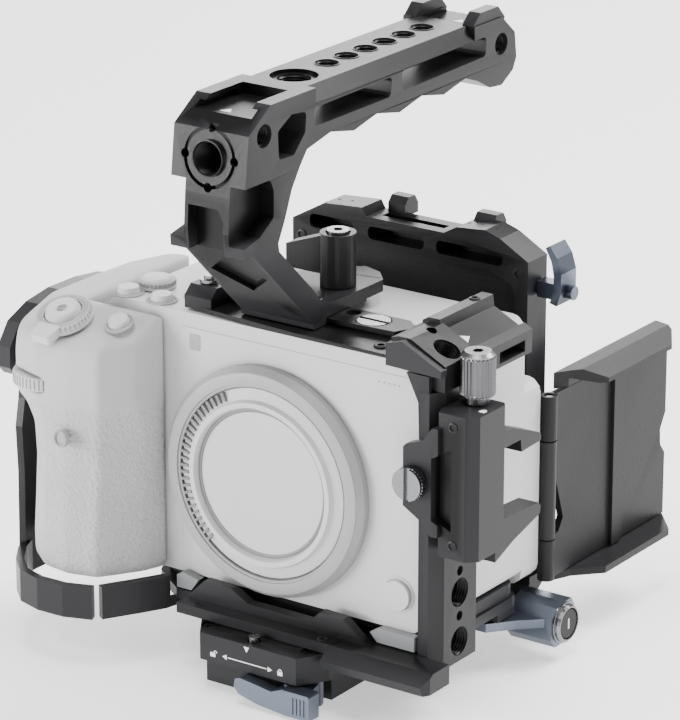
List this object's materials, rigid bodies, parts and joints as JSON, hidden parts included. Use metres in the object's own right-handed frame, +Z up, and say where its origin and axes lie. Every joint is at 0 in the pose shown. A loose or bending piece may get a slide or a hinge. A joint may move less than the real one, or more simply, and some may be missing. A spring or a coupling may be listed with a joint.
{
  "type": "cinema camera rig",
  "caption": "Compact cinema camera in a machined cage with top handle, cable clamp, quick-release base, tilting back plate and swing-out screen hood.",
  "frame": {"origin": "centre of the flat bottom face of the quick-release base", "axes": "+Z up, -Y towards the lens side, +X to the right of someone who faces the lens"},
  "size_m": [0.1514, 0.1525, 0.1721],
  "materials": {
    "black_anodised": "black hard-anodised, fine bead-blasted",
    "blue_anodised": "blue-grey anodised, satin",
    "steel": "bright turned stainless",
    "camera_plastic": "pale grey painted shell",
    "camera_rubber": "pale grey grained grip covering",
    "black_plastic": "black fine-textured",
    "pad_rubber": "pale grey pad"
  },
  "bodies": {
    "cage": {"cage_base_plate": "black_anodised", "cage_side_plate": "black_anodised", "cage_top_plate": "black_anodised", "corner_shoe": "black_anodised", "grip_guard_lower": "black_anodised", "grip_guard_link": "black_anodised", "grip_guard_top": "black_anodised", "cable_clamp_body": "black_anodised", "clamp_jaw_lower": "black_anodised", "qr_plate": "black_anodised", "qr_clamp_body": "black_anodised", "hood_hinge_block": "black_anodised", "tilt_mount_block": "black_anodised", "tilt_housing": "blue_anodised", "rail_screw": "steel", "qr_guide_pin": "steel", "qr_lever_pin": "steel", "tilt_pin": "steel", "button_ring": "steel", "hood_hinge_pin": "steel", "camera_body": "camera_plastic", "camera_screen": "camera_plastic", "lens_mount_ring": "camera_plastic", "camera_grip": "camera_rubber", "camera_pad_left": "pad_rubber", "camera_pad_right": "pad_rubber"},
    "handle": {"handle_frame": "black_anodised"},
    "handle_lever": {"clamp_lever": "black_anodised", "lever_screw": "steel", "clamp_stud": "steel"},
    "handle_jaw": {"clamp_jaw": "black_anodised"},
    "safety_pin": {"safety_pin": "steel"},
    "clamp_knob": {"clamp_knob": "steel"},
    "clamp_upper": {"clamp_jaw_upper": "black_anodised"},
    "thumbscrew": {"clamp_thumbscrew": "steel"},
    "qr_lever": {"qr_lever": "blue_anodised"},
    "back_plate": {"back_frame": "black_anodised", "back_panel": "black_plastic"},
    "latch": {"latch_slide": "blue_anodised"},
    "hood": {"hood_panel": "black_plastic", "hood_top_lip": "black_plastic", "hood_bottom_lip": "black_plastic"},
    "release_button": {"release_button": "black_plastic"},
    "zoom_lever": {"zoom_lever": "camera_plastic"},
    "shutter_button": {"shutter_button": "camera_plastic"},
    "rear_dial": {"rear_dial": "camera_plastic"},
    "body_cap": {"body_cap": "camera_plastic"},
    "button_left": {"button_top_left": "camera_plastic"},
    "button_middle": {"button_top_middle": "camera_plastic"},
    "button_right": {"button_top_right": "camera_plastic"},
    "front_button": {"front_button": "camera_plastic"},
    "front_dial": {"front_dial": "camera_plastic"},
    "deck_button": {"button_deck": "camera_plastic"}
  },
  "joints": [
    {"name": "handle_slide", "type": "slide", "parent": "cage", "child": "handle", "axis": [1, 0, 0], "range_m": [-0.006, 0.012]},
    {"name": "handle_lever_turn", "type": "hinge", "parent": "handle", "child": "handle_lever", "pos_m": [-0.0008, 0.00675, 0.1078], "axis": [0, 0, 1], "range_deg": [-100, 40]},
    {"name": "handle_jaw_slide", "type": "slide", "parent": "handle", "child": "handle_jaw", "axis": [0, 1, 0], "range_m": [-0.00048, 0.0012]},
    {"name": "safety_pin_lift", "type": "slide", "parent": "cage", "child": "safety_pin", "axis": [0, 0, 1], "range_m": [0, 0.003], "stiffness_N_per_m": 60, "springref_m": -0.002},
    {"name": "clamp_knob_turn", "type": "hinge", "parent": "cage", "child": "clamp_knob", "pos_m": [0.056, -0.01055, 0.0907], "axis": [0, 0, 1], "range_deg": [-720, 0]},
    {"name": "clamp_jaw_close", "type": "slide", "parent": "cage", "child": "clamp_upper", "axis": [0, 0, -1], "range_m": [0, 0.004]},
    {"name": "thumbscrew_turn", "type": "hinge", "parent": "cage", "child": "thumbscrew", "pos_m": [0.0447, -0.02395, 0.07], "axis": [0, 1, 0], "continuous": true},
    {"name": "qr_lever_turn", "type": "hinge", "parent": "cage", "child": "qr_lever", "pos_m": [0.0145, -0.02925, 0.0045], "axis": [0, 0, 1], "range_deg": [0, 75]},
    {"name": "back_plate_tilt", "type": "hinge", "parent": "cage", "child": "back_plate", "pos_m": [0.03, 0.03875, 0.01], "axis": [1, 0, 0], "range_deg": [-28, 0]},
    {"name": "latch_press", "type": "slide", "parent": "back_plate", "child": "latch", "axis": [1, 0, 0], "range_m": [0, 0.004], "stiffness_N_per_m": 80, "springref_m": -0.002},
    {"name": "hood_swing", "type": "hinge", "parent": "cage", "child": "hood", "pos_m": [0.0444, 0.04365, 0.0425], "axis": [0, 0, 1], "range_deg": [-90, 0]},
    {"name": "release_press", "type": "slide", "parent": "cage", "child": "release_button", "axis": [-1, 0, 0], "range_m": [0, 0.0012], "stiffness_N_per_m": 200},
    {"name": "zoom_turn", "type": "hinge", "parent": "cage", "child": "zoom_lever", "pos_m": [-0.0654, -0.03115, 0.0951], "axis": [0, -0.3746, 0.9272], "range_deg": [-20, 20], "stiffness_Nm_per_rad": 0.02},
    {"name": "shutter_press", "type": "slide", "parent": "zoom_lever", "child": "shutter_button", "axis": [0, 0.3746, -0.9272], "range_m": [0, 0.0006], "stiffness_N_per_m": 300},
    {"name": "rear_dial_turn", "type": "hinge", "parent": "cage", "child": "rear_dial", "pos_m": [-0.0534, -0.00565, 0.1005], "axis": [0, 0, 1], "continuous": true},
    {"name": "body_cap_turn", "type": "hinge", "parent": "cage", "child": "body_cap", "pos_m": [-0.006, -0.01825, 0.0574], "axis": [0, 1, 0], "range_deg": [-45, 0]},
    {"name": "button_left_press", "type": "slide", "parent": "cage", "child": "button_left", "axis": [0, 0, -1], "range_m": [0, 0.0003], "stiffness_N_per_m": 300},
    {"name": "button_middle_press", "type": "slide", "parent": "cage", "child": "button_middle", "axis": [0, 0, -1], "range_m": [0, 0.0003], "stiffness_N_per_m": 300},
    {"name": "button_right_press", "type": "slide", "parent": "cage", "child": "button_right", "axis": [0, 0, -1], "range_m": [0, 0.0003], "stiffness_N_per_m": 300},
    {"name": "front_dial_turn", "type": "hinge", "parent": "cage", "child": "front_dial", "pos_m": [-0.0715, -0.03185, 0.0785], "axis": [0, 0, 1], "continuous": true},
    {"name": "deck_button_press", "type": "slide", "parent": "cage", "child": "deck_button", "axis": [0, 0.3746, -0.9272], "range_m": [0, 0.0003], "stiffness_N_per_m": 300},
    {"name": "front_button_press", "type": "slide", "parent": "cage", "child": "front_button", "axis": [0, 1, 0], "range_m": [0, 0.00025], "stiffness_N_per_m": 300}
  ],
  "couplings": [
    {"joint": "handle_lever_turn", "follows": "handle_jaw_slide", "rad_per_m": -1428.6},
    {"joint": "clamp_knob_turn", "follows": "clamp_jaw_close", "rad_per_m": -3141.6}
  ]
}
